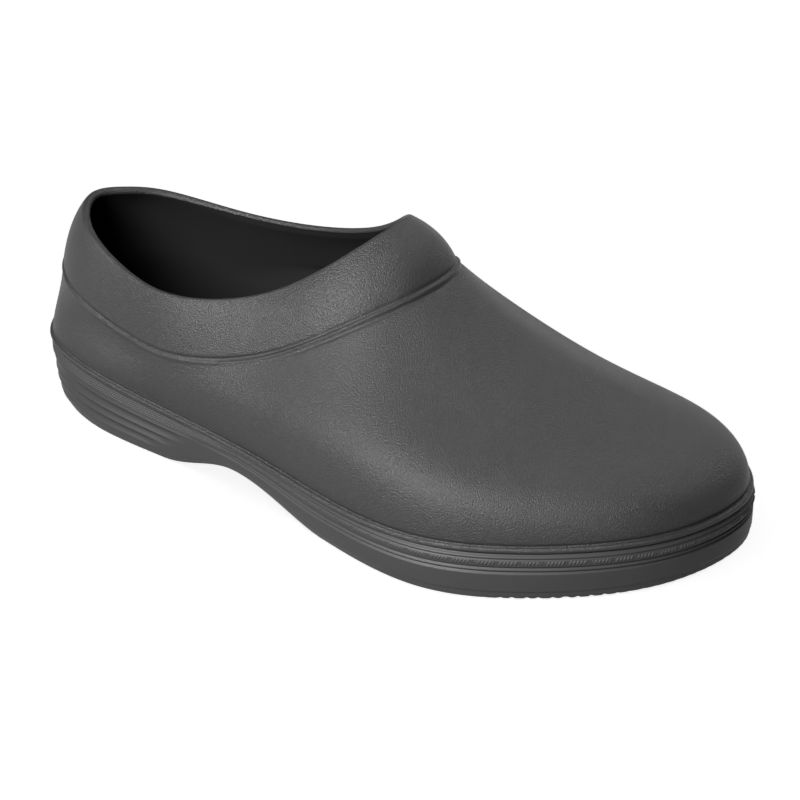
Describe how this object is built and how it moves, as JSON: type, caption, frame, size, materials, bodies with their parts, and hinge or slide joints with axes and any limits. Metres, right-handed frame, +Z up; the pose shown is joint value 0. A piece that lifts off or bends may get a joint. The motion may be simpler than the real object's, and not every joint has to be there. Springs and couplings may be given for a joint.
{
  "type": "chef clog",
  "caption": "Slip-on moulded clog with a closed heel and toe, a rolled collar above a raised bead, a fluted heel and a studded tread.",
  "frame": {"origin": "middle of the foot's outline at floor level, with heel and forefoot standing on z = 0", "axes": "+X from heel to toe, +Y towards the wearer's left (the inner side of this right shoe), +Z up"},
  "size_m": [0.2906, 0.1237, 0.1002],
  "materials": {
    "upper": "satin charcoal moulded foam with a fine pebble grain",
    "sole": "satin charcoal moulded foam",
    "insole": "matt dark foam footbed"
  },
  "bodies": {
    "root": {"upper": "upper", "sole": "sole", "insole": "insole"}
  },
  "joints": []
}
